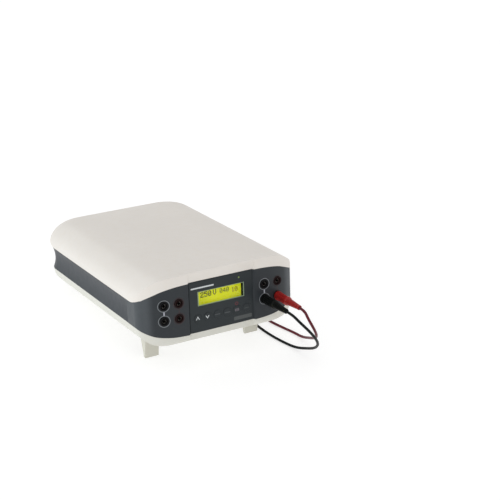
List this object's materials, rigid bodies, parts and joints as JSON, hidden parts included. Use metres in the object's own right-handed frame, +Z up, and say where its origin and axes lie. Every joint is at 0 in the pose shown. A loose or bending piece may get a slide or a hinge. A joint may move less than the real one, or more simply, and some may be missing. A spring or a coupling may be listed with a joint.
{
  "type": "electrophoresis power supply",
  "caption": "Low bench power supply on opened tilt legs, with a keypad, a small display, grouped safety sockets and a red and a black output lead.",
  "frame": {"origin": "on the bench top, under the middle of the unit as it stands on its opened legs and rear feet; the leads are not counted", "axes": "+X to the right seen from the front, +Y to the back, +Z up; the case leans back by 6.9 degrees"},
  "size_m": [0.2632, 0.4564, 0.1259],
  "materials": {
    "white_shell": "fine matte texture",
    "grey_panel": "satin, dark grey",
    "grey_rail": "satin, slate grey",
    "overlay": "smooth polyester film",
    "key_cap": "embossed film",
    "key_stop": "embossed film, red",
    "clear_lens": "clear window",
    "lcd": "yellow-green, lit",
    "bezel_metal": "dark metal frame",
    "pcb": "solder mask",
    "black_plastic": "smooth",
    "red_plastic": "smooth",
    "nickel": "nickel plated",
    "steel": "zinc plated",
    "core_steel": "laminated, varnished",
    "copper": "enamelled wire",
    "aluminium": "extruded, bare",
    "cap_sleeve": "shrink sleeve",
    "ferrite": "coated",
    "terminal_green": "moulded",
    "wire": "soft sleeve",
    "ribbon": "flat cable",
    "standoff": "nylon",
    "leg_plastic": "smooth",
    "foot_rubber": "soft",
    "plug_red": "soft gloss",
    "plug_black": "soft gloss",
    "lead_red": "silicone",
    "lead_black": "silicone",
    "glass_tube": "fuse glass"
  },
  "bodies": {
    "case": {"top_cover": "white_shell", "base_pan": "white_shell", "side_rail_right": "grey_rail", "side_rail_left": "grey_rail", "front_panel": "grey_panel", "keypad_overlay": "overlay", "display_lens": "clear_lens", "display_bezel": "bezel_metal", "display_panel": "lcd", "display_board": "pcb", "key_board": "pcb", "key_switches": "black_plastic", "panel_screws": "steel", "sockets_black": "black_plastic", "sockets_red": "red_plastic", "socket_contacts": "nickel", "socket_nuts": "nickel", "output_boards": "pcb", "main_board": "pcb", "board_standoffs": "standoff", "board_screws": "steel", "transformer_core": "core_steel", "transformer_coil": "copper", "heat_sink": "aluminium", "power_transistors": "black_plastic", "capacitors": "cap_sleeve", "choke": "ferrite", "terminal_blocks": "terminal_green", "output_wires": "wire", "ribbon_cable": "ribbon", "ribbon_header": "black_plastic", "rear_panel": "grey_panel", "rear_screws": "steel", "mains_inlet": "black_plastic", "inlet_blades": "nickel", "fuse_holder": "black_plastic", "switch_housing": "black_plastic", "case_screws": "steel", "rubber_feet": "foot_rubber", "hinge_pins": "steel", "black_plug": "plug_black", "red_plug": "plug_red", "black_lead": "lead_black", "red_lead": "lead_red", "black_lead_coil": "lead_black", "red_lead_coil": "lead_red", "black_far_plug": "plug_black", "red_far_plug": "plug_red", "plug_pins": "nickel"},
    "key_up": {"key_up": "key_cap"},
    "key_down": {"key_down": "key_cap"},
    "key_mode": {"key_mode": "key_cap"},
    "key_enter": {"key_enter": "key_cap"},
    "key_stop": {"key_stop": "key_stop"},
    "key_start": {"key_start": "key_cap"},
    "leg_left": {"tilt_leg_left": "leg_plastic"},
    "leg_right": {"tilt_leg_right": "leg_plastic"},
    "rocker": {"switch_rocker": "black_plastic"},
    "drawer": {"fuse_drawer": "black_plastic", "fuses": "glass_tube"}
  },
  "joints": [
    {"name": "key_up_press", "type": "slide", "parent": "case", "child": "key_up", "axis": [0, 0.9928, -0.1201], "range_m": [0, 0.0005], "stiffness_N_per_m": 800},
    {"name": "key_down_press", "type": "slide", "parent": "case", "child": "key_down", "axis": [0, 0.9928, -0.1201], "range_m": [0, 0.0005], "stiffness_N_per_m": 800},
    {"name": "key_mode_press", "type": "slide", "parent": "case", "child": "key_mode", "axis": [0, 0.9928, -0.1201], "range_m": [0, 0.0005], "stiffness_N_per_m": 800},
    {"name": "key_enter_press", "type": "slide", "parent": "case", "child": "key_enter", "axis": [0, 0.9928, -0.1201], "range_m": [0, 0.0005], "stiffness_N_per_m": 800},
    {"name": "key_stop_press", "type": "slide", "parent": "case", "child": "key_stop", "axis": [0, 0.9928, -0.1201], "range_m": [0, 0.0005], "stiffness_N_per_m": 800},
    {"name": "key_start_press", "type": "slide", "parent": "case", "child": "key_start", "axis": [0, 0.9928, -0.1201], "range_m": [0, 0.0005], "stiffness_N_per_m": 800},
    {"name": "leg_left_fold", "type": "hinge", "parent": "case", "child": "leg_left", "pos_m": [-0.0699, -0.09996, 0.03766], "axis": [1, 0, 0], "range_deg": [0, 90]},
    {"name": "leg_right_fold", "type": "hinge", "parent": "case", "child": "leg_right", "pos_m": [0.0699, -0.09996, 0.03766], "axis": [1, 0, 0], "range_deg": [0, 90]},
    {"name": "mains_switch", "type": "hinge", "parent": "case", "child": "rocker", "pos_m": [0.0155, 0.14725, 0.03696], "axis": [1, 0, 0], "range_deg": [0, 16]},
    {"name": "fuse_drawer_slide", "type": "slide", "parent": "case", "child": "drawer", "axis": [0, 0.9928, -0.1201], "range_m": [0, 0.024]}
  ]
}
